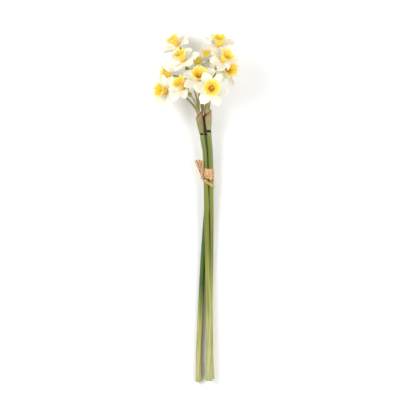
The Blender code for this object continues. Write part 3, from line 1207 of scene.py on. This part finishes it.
@dataclass
class Flower:
    """One flower: outer and inner whorl, trumpet, stamens and stalk."""

    number: str
    accents: tuple[Accent, ...] = ()
    mouth: float = 1.0
    stamen_seat: float = 6.5 * MM

    def poses(self, head: HeadPlace) -> list[Pose]:
        """Choose each tepal's pose, outer whorl first.

        Args:
            head: the flower head's place.

        Returns:
            Six poses.
        """
        rng = np.random.default_rng(int(self.number))
        usual = [Habit.SPREAD, Habit.SPREAD, Habit.CUPPED, Habit.TWISTED]
        chosen = [usual[rng.integers(len(usual))].value for _ in range(6)]
        turns = [step * 2 * math.pi / 3 + shift for shift in (0.0, math.pi / 3) for step in range(3)]
        tips = [head.to_world.to_3x3() @ Vector((math.cos(turn), math.sin(turn), 0.0)) for turn in turns]
        for accent in self.accents:
            toward = Vector(accent.toward).normalized()
            chosen[max(range(6), key=lambda index: tips[index].dot(toward))] = accent.pose
        return chosen

    def build(self, finishes: dict[str, bpy.types.Material], stamens: bpy.types.NodeTree) -> None:
        """Make the flower's pieces."""
        head = HeadPlace(self.number)
        seed = 100 * int(self.number)
        poses = self.poses(head)
        for kind, held, turn, lift, own_seed in (
            ("outer", poses[:3], 0.0, -0.25 * MM, seed + 5),
            ("inner", poses[3:], math.pi / 3, 0.6 * MM, seed + 6),
        ):
            name = f"{kind}_whorl_{self.number}"
            node = f"{kind}_tepals_{self.number}"
            Whorl(name, node, head, held, turn, lift, own_seed).build(finishes["tepal"])
        Trumpet(self.number, head, seed + 3, mouth=Trumpet.mouth * self.mouth).build(finishes["trumpet"])
        mesh = realised_mesh(f"stamens_{self.number}", stamens, {"Count": StamenTree.count})
        mesh.transform(head.to_world @ Matrix.Translation((0.0, 0.0, self.stamen_seat)))
        settle(linked(f"stamens_{self.number}", mesh), "trumpet_fabric")
        Stalk(self.number, head).build(finishes["stalk"])


FLOWERS = (
    Flower(
        "01",
        (
            Accent((0.74, 0.67, 0.0), Pose(0, 34)),
            Accent((0.57, 0.12, 0.81), Pose(6, 70)),
            Accent((-0.74, -0.67, 0.0), Pose(38, 100)),
            Accent((-0.17, -0.55, 0.81), Pose(-8, 30)),
        ),
        0.9,
    ),
    Flower("02", (Accent((-0.9, -0.35, -0.15), Pose(4, 18)), Accent((-0.41, -0.63, 0.66), Pose(2, 24))), 0.9),
    Flower("03", (Accent((0.0, 0.34, -0.94), Pose(58, 74)),), 0.9),
    Flower("04", (), 0.82),
    Flower(
        "05",
        (
            Accent((-0.84, 0.32, -0.43), Pose(22, 110)),
            Accent((0.04, 0.5, -0.87), Pose(48, 96, yaw=28)),
            Accent((0.89, 0.17, 0.43), Pose(16, 60)),
        ),
        0.92,
    ),
    Flower(
        "06",
        (
            Accent((-0.7, -0.03, 0.7), Pose(0, 30)),
            Accent((0.7, -0.7, 0.1), Pose(-80, 40, length=0.72)),
            Accent((0.0, -0.69, 0.72), Pose(0, 40, yaw=-22)),
        ),
        1.0,
    ),
    Flower(
        "07",
        (
            Accent((0.34, -0.94, 0.0), Pose(30, 140, length=1.05)),
            Accent((0.88, -0.21, -0.43), Pose(-26, 90)),
            Accent((-0.88, 0.21, 0.43), Pose(4, 26)),
        ),
        1.06,
    ),
    Flower("08", (Accent((0.0, -0.7, 0.7), Pose(26, 24)),), 1.08),
    Flower(
        "09",
        (
            Accent((0.0, -1.0, 0.0), Pose(-2, 18)),
            Accent((-0.81, -0.58, 0.0), Pose(-6, 26)),
            Accent((0.82, -0.57, 0.0), Pose(-20, 18)),
            Accent((0.77, 0.63, 0.0), Pose(28, 84)),
            Accent((-0.8, 0.6, 0.0), Pose(-26, 22)),
        ),
        1.12,
    ),
    Flower("10", (Accent((-0.5, -0.82, 0.3), Pose(-4, 30)), Accent((0.5, -0.3, 0.81), Pose(8, 60))), 1.0),
    Flower(
        "11",
        (
            Accent((-0.36, -0.88, -0.3), Pose(26, 34, length=1.06)),
            Accent((0.16, -0.82, 0.55), Pose(0, 44)),
            Accent((-0.16, 0.82, -0.55), Pose(8, 18)),
        ),
        1.0,
    ),
    Flower("12", (), 1.0),
)


# ---------------------------------------------------------------- stems and sheaths


@dataclass
class LongStem:
    """A hollow moulded stem: faint ribs, a collar with a lip at the top, and a pale cut end."""

    number: str
    cuts: int = 60
    rings: int = 200
    sides: int = 48
    ribs: int = 11
    rib_height: float = 0.10 * MM
    inset: float = 0.03 * MM
    unevenness: float = 0.012
    lip: float = 0.28 * MM
    dip: float = 1.5 * MM
    collar_start: float = 1 - 5 / 360
    collar_full: float = 1 - 2.5 / 360

    def build(self, material: bpy.types.Material) -> None:
        """Sweep the stem from inside its cut end, along it, and back down inside the collar.

        Args:
            material: the moulded plastic.
        """
        node = f"stem_{self.number}"
        route = resample(sliced_route(node, self.cuts), self.rings)
        angles = full_turn(self.sides)
        along = np.linspace(0.0, 1.0, self.rings)
        ribs = -0.5 * (1 + np.cos(self.ribs * angles))
        wander = np.array([noise.noise(Vector((0.0, 9.0 * share, int(self.number)))) for share in along])
        radius = route[:, 3] * (1 - self.unevenness * np.abs(wander)) - self.inset
        collar = smooth(along, self.collar_start, self.collar_full) * self.lip
        flatter = 1 - collar / (0.3 * MM)
        body_radii = (radius + collar)[:, None] + self.rib_height * ribs[None, :] * flatter[:, None]
        body = tube_points(route[:, :3], body_radii, angles)
        tangents, _, _ = carried_frames(route[:, :3])
        dip = self.dip * (1 + np.sin(angles)) / 2
        end_share = smooth(along, self.collar_start, 1.0)
        body = body - tangents[:, None] * (dip[None, :] * end_share[:, None])[..., None]

        def ring(end: int, share: float, inward: float) -> np.ndarray:
            """A ring inside one end of the body, at a share of its size.

            Args:
                end: 0 for the cut end, -1 for the collar.
                share: the ring's size as a share of the body's.
                inward: how deep it lies, in metres.

            Returns:
                The points of the ring.
            """
            centre = route[end, :3]
            direction = tangents[end] * (1 if end == 0 else -1)
            return centre + (body[end] - centre) * share + direction * inward

        # The collar's rounded lip, then its socket; and the bore, then the cut end's edge.
        socket = ((0.97, -0.1), (0.9, 0.0), (0.86, 0.3), (0.84, 4.0), (0.0, 4.1))
        bore = ((0.0, 7.0), (0.55, 6.8), (0.56, 0.2), (0.62, 0.0), (0.94, -0.05))
        top = [ring(-1, share, depth * MM) for share, depth in socket]
        low = [ring(0, share, depth * MM) for share, depth in bore]
        rows = np.concatenate([np.stack(low), body, np.stack(top)], axis=0)
        # The lip's rows read 0.965 and 0.97 of the map, where the finish paints a highlight, and the socket's
        # rows read 1.0, painted near-black as shade.
        full = np.concatenate([np.zeros(len(low)), 0.96 * along, [0.965, 0.97, 1.0, 1.0, 1.0]])
        uv = crossed(full, angles / (2 * math.pi))
        mesh = grid_mesh(f"{node}_mesh", rows, uv, wrap=True)
        weld(mesh)
        obj = add_piece(f"ribbed_stem_{self.number}", mesh, material)
        settle(obj, "stem_plastic", node)


@dataclass
class Sheath:
    """A papery sheath rolled round the stalks, with a slanted, pointed mouth."""

    number: str
    tip_turn: float
    # The share of the sheath, from its start inside the collar, that lies before the map's zero and is
    # painted near-black as shade.
    painted_shade_foot: float
    slant: float = 9.6 * MM
    inside: float = 2.5 * MM
    narrowest: float = 2.1 * MM
    widest: float = 5.0 * MM
    crumple: float = 0.28 * MM
    overlap: float = 0.35 * MM
    rib: float = 0.09 * MM
    cuts: int = 40
    rings: int = 48
    sides: int = 72
    paper: float = 0.3 * MM

    def build(self, material: bpy.types.Material) -> None:
        """Roll the paper from the collar to the mouth, crumple it a little, and slant its margin.

        Args:
            material: the crepe.
        """
        node = f"sheath_{self.number}"
        coarse = sliced_route(node, self.cuts)
        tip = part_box(node)[1][1]
        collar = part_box(f"stem_{self.number}")[1][1] - self.inside
        coarse = coarse[(coarse[:, 1] > collar) & (coarse[:, 1] < tip - self.slant)]
        onward = (coarse[-1] - coarse[-3]) / (coarse[-1, 1] - coarse[-3, 1]) * (tip - coarse[-1, 1])
        onward[3] = 0.0
        coarse = np.concatenate([coarse, [coarse[-1] + onward / 2, coarse[-1] + onward]])
        route = resample(coarse, self.rings)
        angles = full_turn(self.sides)
        share = np.linspace(0.0, 1.0, self.rings)[:, None]
        _, sides, ups = carried_frames(route[:, :3])
        length = float(np.linalg.norm(np.diff(route[:, :3], axis=0), axis=1).sum())
        turned = np.angle(np.exp(1j * (angles - self.tip_turn)))
        reach = 0.96 - (self.slant / length) * (1 - np.cos(turned)) / 2
        reach = reach + 0.04 * np.exp(-((turned / 0.3) ** 2)) + 0.008 * np.sin(9 * angles + int(self.number))
        along = np.clip(share * reach[None, :], 0.0, 1.0)
        index = along * (self.rings - 1)
        low = np.clip(index.astype(int), 0, self.rings - 2)
        part = (index - low)[..., None]
        centre = route[low, :3] * (1 - part) + route[low + 1, :3] * part
        radius = route[low, 3] * (1 - part[..., 0]) + route[low + 1, 3] * part[..., 0]
        radius = np.clip(radius, self.narrowest, self.widest)
        overlap = (angles / (2 * math.pi))[None, :]
        ring = [(3 * math.cos(angle), 3 * math.sin(angle)) for angle in angles]
        levels = 6 * share[:, 0] + 5 * int(self.number)
        crumple = np.array([[noise.noise(Vector((*spot, level))) for spot in ring] for level in levels])
        radius = radius + smooth(along, 0.1, 0.5) * (
            self.crumple * crumple + self.overlap * overlap**6 + self.rib * np.cos(16 * angles)[None, :]
        )
        across = sides[low] * np.cos(angles)[None, :, None] + ups[low] * np.sin(angles)[None, :, None]
        points = centre + across * radius[..., None]
        # The map's zero lies at that share, so the foot below it is painted near-black as shade.
        visible = (share[:, 0] - self.painted_shade_foot) / (1 - self.painted_shade_foot)
        uv = crossed(visible, angles / (2 * math.pi))
        mesh = grid_mesh(f"{node}_mesh", points, uv, wrap=True)
        obj = add_piece(f"papery_sheath_{self.number}", mesh, material)
        thicken(obj, self.paper, -1.0)
        settle(obj, "sheath_fabric", node)


# ---------------------------------------------------------------- raffia


@dataclass
class RaffiaTie:
    """The tie: a crumpled band, a folded strand, a knot and a pleated tail."""

    seed: int = 11
    thickness: float = 0.4 * MM
    inset: float = 0.5 * MM
    ragged: float = 0.6 * MM
    tail_strips: int = 7
    tail_thickness: float = 0.22 * MM

    def wound_strip(self, node: str, around: int, across: int, folds: float, crumple: float) -> tuple:
        """Read the ring that a CAD strip makes and lay a crumpled strip along it.

        Args:
            node: the CAD strip.
            around: points round the stems.
            across: points across the strip.
            folds: height of the folds that run along the strip.
            crumple: height of the crumples.

        Returns:
            The points and their UV values.
        """
        low, high = box_corners(node)
        centre = (low + high) / 2
        surface = BVHTree.FromObject(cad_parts[node], bpy.context.evaluated_depsgraph_get())
        angles = full_turn(around)
        cuts = np.linspace(low[1], high[1], 70)
        away = 60 * MM
        rows, edges = [], []
        for angle in angles:
            outward = Vector((math.cos(angle), 0.0, math.sin(angle)))
            hits = []
            for y in cuts:
                origin = Vector((centre[0], y, centre[2])) + outward * away
                place, _, _, _ = surface.ray_cast(origin, -outward)
                if place is not None and (place - origin).length < away:
                    hits.append((y, away - (place - origin).length))
            rows.append(float(np.median([reach for _, reach in hits])))
            edges.append((hits[0][0], hits[-1][0]))
        reach_line = np.array(rows)
        edge_line = np.array(edges)
        for _ in range(3):
            reach_line = (np.roll(reach_line, 1) + reach_line + np.roll(reach_line, -1)) / 3
            edge_line = (np.roll(edge_line, 1, axis=0) + edge_line + np.roll(edge_line, -1, axis=0)) / 3
        share = np.linspace(0.0, 1.0, across)
        grid = np.zeros((across, around, 3))
        for row, part in enumerate(share):
            y = edge_line[:, 0] * (1 - part) + edge_line[:, 1] * part
            for column, angle in enumerate(angles):
                spot = Vector((4 * math.cos(angle), 4 * math.sin(angle), 9 * part + self.seed))
                bump = crumple * noise.noise(spot * 1.6) + folds * math.cos(part * 2 * math.pi * 2.5)
                spot = Vector((6 * math.cos(angle), 6 * math.sin(angle), 40 + 9 * part))
                ragged = self.ragged * noise.noise(spot)
                out = reach_line[column] - self.inset + bump
                grid[row, column] = (
                    centre[0] + out * math.cos(angle),
                    y[column] + ragged * abs(2 * part - 1),
                    centre[2] + out * math.sin(angle),
                )
        around_line = np.linspace(0.0, 6.0, around, endpoint=False)
        uv = np.stack(np.broadcast_arrays(around_line[None, :], share[:, None]), axis=-1)
        return grid[:, ::-1], uv

    def build(self, material: bpy.types.Material) -> None:
        """Make the band, strand, knot and tail.

        Args:
            material: the raffia.
        """
        for name, node, across, folds, crumple in (
            ("crumpled_band", "raffia_band", 26, 0.10 * MM, 0.45 * MM),
            ("folded_strand", "raffia_strand", 14, 0.30 * MM, 0.25 * MM),
        ):
            points, uv = self.wound_strip(node, 120, across, folds, crumple)
            obj = add_piece(name, grid_mesh(name, points, uv, wrap=True), material)
            thicken(obj, self.thickness)
            settle(obj, "raffia_fibre", node)
        self.knot().build(material)
        self.tail(material)

    def knot(self) -> "RaffiaKnot":
        """The knot in the CAD knot's place."""
        low, high = box_corners("raffia_knot")
        return RaffiaKnot((low + high) / 2, (high - low) / 2)

    def tail(self, material: bpy.types.Material) -> None:
        """Fan pleated strips from the knot to the CAD tail's end, with loose fibres at their ends.

        Args:
            material: the raffia.
        """
        low, high = box_corners("raffia_tail")
        root = sum(box_corners("raffia_knot")) / 2
        rng = np.random.default_rng(self.seed)
        meshes, ends = [], []
        for index in range(self.tail_strips):
            share = index / (self.tail_strips - 1)
            start = root + np.array([(share - 0.5) * 1.6, 1.2, 0.3 * (index % 2)]) * MM
            end = np.array(
                [
                    low[0] - 0.6 * MM + share * (high[0] - low[0] - 0.2 * MM),
                    high[1] - (0.4 + 2.4 * abs(2 * share - 1) + rng.uniform(0, 1.0)) * MM,
                    high[2] - (0.8 + 1.3 * (index % 2)) * MM,
                ]
            )
            middle = (start + end) / 2 + np.array([rng.uniform(-0.5, 0.5), 0.0, rng.uniform(0.0, 0.8)]) * MM
            steps = np.linspace(0.0, 1.0, 28)[:, None]
            route = (1 - steps) ** 2 * start + 2 * steps * (1 - steps) * middle + steps**2 * end
            points = self.strip(route, (0.42 + 0.6 * steps[:, 0] ** 0.8) * MM, 42.0 * (-1) ** index, rng)
            rows, columns = points.shape[:2]
            uv = crossed(np.linspace(0.0, 1.5, rows) + index, np.linspace(0.0, 0.35, columns))
            meshes.append(grid_mesh(f"tail_strip_{index}", points, uv, wrap=False))
            ends.append(end)
        obj = add_piece("pleated_tail", joined("pleated_tail", meshes), material)
        thicken(obj, self.tail_thickness)
        settle(obj, "raffia_fibre", "raffia_tail")
        tree = FibreTree(material).build()
        mesh = realised_mesh("loose_fibres", tree, {"Start": tuple(ends[0]), "End": tuple(ends[-1])})
        settle(linked("loose_fibres", mesh), "raffia_fibre")

    def strip(
        self, route: np.ndarray, half_widths: np.ndarray, tilt: float, rng: np.random.Generator
    ) -> np.ndarray:
        """Lay a folded strip along a route.

        Args:
            route: points by 3.
            half_widths: half the strip's width at each point.
            tilt: how far the strip leans about its route, in degrees.
            rng: makes each strip differ.

        Returns:
            Rows by columns by 3.
        """
        tangents = np.gradient(route, axis=0)
        tangents /= np.linalg.norm(tangents, axis=1)[:, None]
        sides = np.cross(tangents, (0.0, 0.0, 1.0))
        ups = np.cross(sides, tangents)
        lean = math.radians(tilt)
        across = np.linspace(-1.0, 1.0, 9)
        shift = rng.uniform(0, 6)
        fold = 0.32 * MM * (1 - np.abs(across)) + 0.10 * MM * np.cos(9 * across + shift)
        leaning = sides * math.cos(lean) + ups * math.sin(lean)
        rising = ups * math.cos(lean) - sides * math.sin(lean)
        waves = 0.16 * MM * np.sin(np.linspace(0.0, 11.0, len(route)) + shift)
        points = route[:, None] + leaning[:, None] * (across[None, :] * half_widths[:, None])[..., None]
        return points + rising[:, None] * (fold[None, :] + waves[:, None])[..., None]


@dataclass
class RaffiaKnot:
    """The gathered knot: an egg with the folds of the strip that is pulled tight over it."""

    centre: np.ndarray
    radii: np.ndarray
    around: int = 60
    along: int = 30

    def build(self, material: bpy.types.Material) -> None:
        """Make the knot and hand it to the frame.

        Args:
            material: the raffia.
        """
        turn = full_turn(self.around)[None, :]
        climb = np.linspace(0.0, math.pi, self.along)[:, None]
        folds = 0.09 * np.cos(9 * turn + 3.5 * np.cos(climb)) + 0.05 * np.cos(17 * turn - 5 * np.cos(climb))
        out = 0.9 + folds * np.sin(climb)
        unit = np.stack(
            [
                np.sin(climb) * np.cos(turn) * out,
                -np.cos(climb) * np.ones_like(turn) * 0.95,
                np.sin(climb) * np.sin(turn) * out,
            ],
            axis=-1,
        )
        uv = crossed(climb[:, 0] / math.pi, turn[0] / (2 * math.pi))
        mesh = grid_mesh("gathered_knot", self.centre + unit * self.radii, uv, wrap=True)
        weld(mesh)
        settle(add_piece("gathered_knot", mesh, material), "raffia_fibre", "raffia_knot")


@dataclass
class FibreTree:
    """A Geometry Nodes tree: loose fibres that stick out between two places."""

    material: bpy.types.Material
    count: int = 16
    length: float = 1.6 * MM
    radius: float = 0.07 * MM

    def build(self) -> bpy.types.NodeTree:
        """Build the tree, with its count, length and two ends as inputs.

        Returns:
            The tree.
        """
        tree, given = start_tree(
            "loose_fibres",
            (
                ("Count", "NodeSocketInt", self.count),
                ("Length", "NodeSocketFloat", self.length),
                ("Start", "NodeSocketVector", (0.0, 0.0, 0.0)),
                ("End", "NodeSocketVector", (0.01, 0.0, 0.0)),
            ),
        )
        line = add_node(
            tree,
            "GeometryNodeMeshLine",
            {"Count": given["Count"], "Start Location": given["Start"], "Offset": given["End"]},
            mode="END_POINTS",
        )
        reach = add_node(tree, "ShaderNodeCombineXYZ", {"Y": given["Length"]})
        ends = {"Start": (0.0, 0.0, 0.0), "End": reach.outputs[0]}
        path = add_node(tree, "GeometryNodeCurvePrimitiveLine", ends)
        ring = add_node(tree, "GeometryNodeCurvePrimitiveCircle", {"Resolution": 5, "Radius": self.radius})
        fibre = add_node(
            tree,
            "GeometryNodeCurveToMesh",
            {"Curve": path.outputs[0], "Profile Curve": ring.outputs[0], "Fill Caps": True},
        )
        turn = add_node(
            tree,
            "FunctionNodeRandomValue",
            {0: (-0.4, -0.2, -0.5), 1: (0.25, 0.2, 0.5), "Seed": 3},
            data_type="FLOAT_VECTOR",
        )
        size = add_node(tree, "FunctionNodeRandomValue", {2: 0.4, 3: 1.0, "Seed": 8}, data_type="FLOAT")
        placed = add_node(
            tree,
            "GeometryNodeInstanceOnPoints",
            {
                "Points": line.outputs[0],
                "Instance": fibre.outputs[0],
                "Rotation": turn.outputs[0],
                "Scale": size.outputs[1],
            },
        )
        return end_tree(tree, placed.outputs[0], self.material)


# ---------------------------------------------------------------- setting


@dataclass
class Studio:
    """A plain pale floor, soft light from above, and a camera that looks straight down."""

    frame_width: float = 603.8 * MM
    height: float = 25.0
    from_edge: float = 6.5 * MM
    from_cut_end: float = 251.8 * MM
    floor_side: float = 12.0
    sky: float = 0.6
    aim: tuple[float, float, float] = (0.0, 0.1, 0.0)

    def build(self) -> None:
        """Set up the floor, the lights, the camera and the colour handling."""
        bpy.context.scene.view_settings.view_transform = "Standard"
        self.lay_floor()
        self.hang_lights()
        self.hang_camera()

    def lay_floor(self) -> None:
        """Lay matt white paper under the bunch."""
        mesh = bpy.data.meshes.new("pale_floor")
        side = self.floor_side / 2
        corners = [(-side, -side, 0), (side, -side, 0), (side, side, 0), (-side, side, 0)]
        mesh.from_pydata(corners, [], [(0, 1, 2, 3)])
        material = bpy.data.materials.new("matt_white_paper")
        material.use_nodes = True
        shader = material.node_tree.nodes["Principled BSDF"]
        shader.inputs["Base Color"].default_value = srgb("#fbfbfa")
        shader.inputs["Roughness"].default_value = 0.95
        floor = add_piece("pale_floor", mesh, material)

    def hang_lights(self) -> None:
        """Light the room softly, with a wide key light at the left and a weaker one at the right."""
        world = bpy.data.worlds.new("soft_room")
        world.use_nodes = True
        room = world.node_tree.nodes["Background"]
        room.inputs["Color"].default_value = srgb("#ffffff")
        room.inputs["Strength"].default_value = self.sky
        bpy.context.scene.world = world
        for name, place, size, power in (
            ("key_light", (-1.3, 0.6, 1.6), 1.2, 28.0),
            ("fill_light", (1.3, -0.2, 1.5), 1.2, 19.0),
        ):
            light = bpy.data.lights.new(name, "AREA")
            light.size = size
            light.energy = power
            obj = linked(name, light)
            obj.location = place
            obj.rotation_euler = (Vector(self.aim) - Vector(place)).to_track_quat("-Z", "Y").to_euler()

    def hang_camera(self) -> None:
        """Hang the camera straight above, measured from the first stem's edge and cut end."""
        camera = bpy.data.cameras.new("camera")
        camera.sensor_width = 36.0
        camera.lens = camera.sensor_width * self.height / self.frame_width
        camera.clip_end = 2 * self.height
        obj = linked("camera", camera)
        low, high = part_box("stem_1")
        obj.location = (high[0] - self.from_edge, low[1] + self.from_cut_end, self.height)
        bpy.context.scene.camera = obj


def finishes() -> dict[str, bpy.types.Material]:
    """Make each finish once.

    Returns:
        Each finish's short name with its material.
    """
    # The socket's near-black is painted shade inside the collar; the paler green of the lip just below it is
    # a painted highlight.
    cut_end, socket = (0.0, "#bcb97c"), (0.99, "#1c1a0a")
    stem = StreakedPlastic(
        "moulded_stem_green",
        0.5,
        stops=(
            cut_end,
            (0.2, "#bbb86c"),
            (0.34, "#a8aa4e"),
            (0.5, "#7f8620"),
            (0.8, "#808821"),
            (0.955, "#8d924a"),
            # Painted highlight on the collar's lip.
            (0.972, "#9aa068"),
            socket,
        ),
    )
    # Stem 3 lies under the other two: the dark greens of its middle are painted shade; its pale cut end is
    # the stem's own colour.
    painted_shade_stem = StreakedPlastic(
        "moulded_stem_painted_shade",
        0.5,
        stops=(
            cut_end,
            (0.22, "#b7b56a"),
            (0.31, "#8f9a48"),
            (0.38, "#48681f"),
            (0.6, "#44641b"),
            (0.955, "#5c7434"),
            # Painted highlight on the collar's lip.
            (0.97, "#6b7a48"),
            socket,
        ),
    )
    stalk = StreakedPlastic(
        "moulded_stalk_olive",
        0.55,
        stops=((0.0, "#aaa35c"), (0.5, "#aca062"), (0.85, "#a3a658"), (1.0, "#c2ba62")),
        streak="#83803e",
        depth=0.55,
    )
    # Sheath 3 is painted dark brown all over: painted shade for where it lies under and between the others.
    painted_shade_crepe = PaperySheath("crepe_sheath_painted_shade", 0.8, body="#55492a", rib="#40361f", margin="#6a3a26")
    return {
        "tepal": MouldedSilk("moulded_silk_cream", 0.8, sheen=0.1, subsurface=0.3).build(),
        "trumpet": TrumpetSilk("trumpet_silk_yellow", 0.75, sheen=0.1, subsurface=0.7).build(),
        "stamen": TrumpetSilk("stamen_wax_yellow", 0.6, throat="#ffb62c", floor="#ffc447").build(),
        "stalk": stalk.build(),
        "stem": stem.build(),
        "painted_shade_stem": painted_shade_stem.build(),
        "sheath": PaperySheath("crepe_sheath_khaki", 0.8).build(),
        "olive_sheath": PaperySheath("crepe_sheath_olive", 0.8, body="#96915c", rib="#7d794a").build(),
        "painted_shade_sheath": painted_shade_crepe.build(),
        "raffia": DryRaffia("dry_raffia_tan", 0.85).build(),
    }


def main() -> None:
    """Build the bunch in order, then the setting."""
    logging.basicConfig(level=logging.INFO, format="%(message)s")
    materials = finishes()
    for number, finish in (("1", "stem"), ("2", "stem"), ("3", "painted_shade_stem")):
        LongStem(number).build(materials[finish])
    for number, tip_turn, painted_shade_foot, finish in (
        ("1", 0.25, 0.072, "olive_sheath"),
        ("2", 0.1, 0.14, "sheath"),
        ("3", 0.0, 0.085, "painted_shade_sheath"),
    ):
        Sheath(number, tip_turn, painted_shade_foot).build(materials[finish])
    stamens = StamenTree(materials["stamen"]).build()
    for flower in FLOWERS:
        flower.build(materials, stamens)
    RaffiaTie().build(materials["raffia"])
    Studio().build()


if __name__ == "__main__":
    main()
